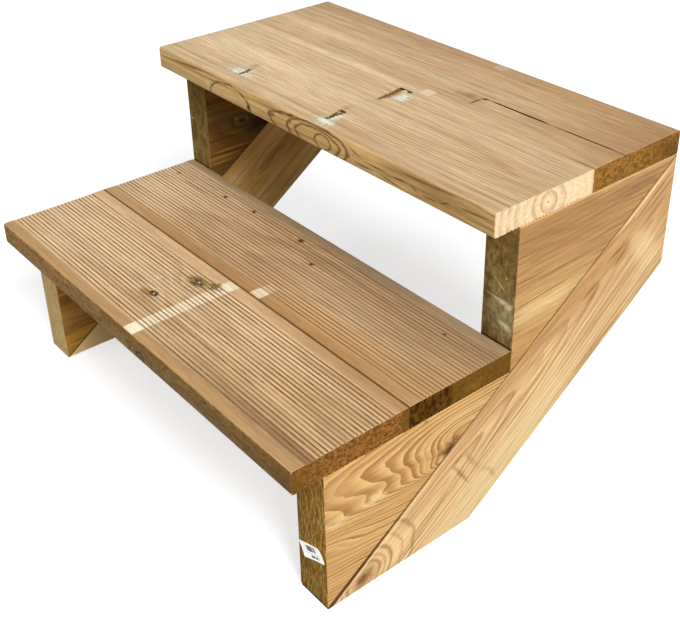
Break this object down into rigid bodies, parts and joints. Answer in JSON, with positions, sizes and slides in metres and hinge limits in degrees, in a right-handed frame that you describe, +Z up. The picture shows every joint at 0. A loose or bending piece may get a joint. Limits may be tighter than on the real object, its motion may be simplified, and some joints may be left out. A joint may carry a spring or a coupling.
{
  "type": "wooden garden steps",
  "caption": "Low open-riser garden steps: reeded softwood treads on two sawn stringers of blocks and sloping boards, set against a deck or sill.",
  "frame": {"origin": "middle of the upper tread's back edge, the face that goes against the deck or sill that the steps serve", "axes": "+X to the right along the treads, +Y to the back, out of the face that goes against the deck, +Z up"},
  "size_m": [0.6, 0.528, 0.372],
  "materials": {
    "deck_board": "pressure-treated pine, planed and reeded, left bare",
    "side_timber": "pressure-treated pine, planed and sawn to shape, left bare",
    "tag_paper": "coated paper tag, blank"
  },
  "bodies": {
    "root": {"lower_tread_front_board": "deck_board", "lower_tread_back_board": "deck_board", "upper_tread_front_board": "deck_board", "upper_tread_back_board": "deck_board", "left_sloping_board": "side_timber", "right_sloping_board": "side_timber", "left_lower_block": "side_timber", "right_lower_block": "side_timber", "left_upper_block": "side_timber", "right_upper_block": "side_timber", "paper_tag": "tag_paper"}
  },
  "joints": []
}
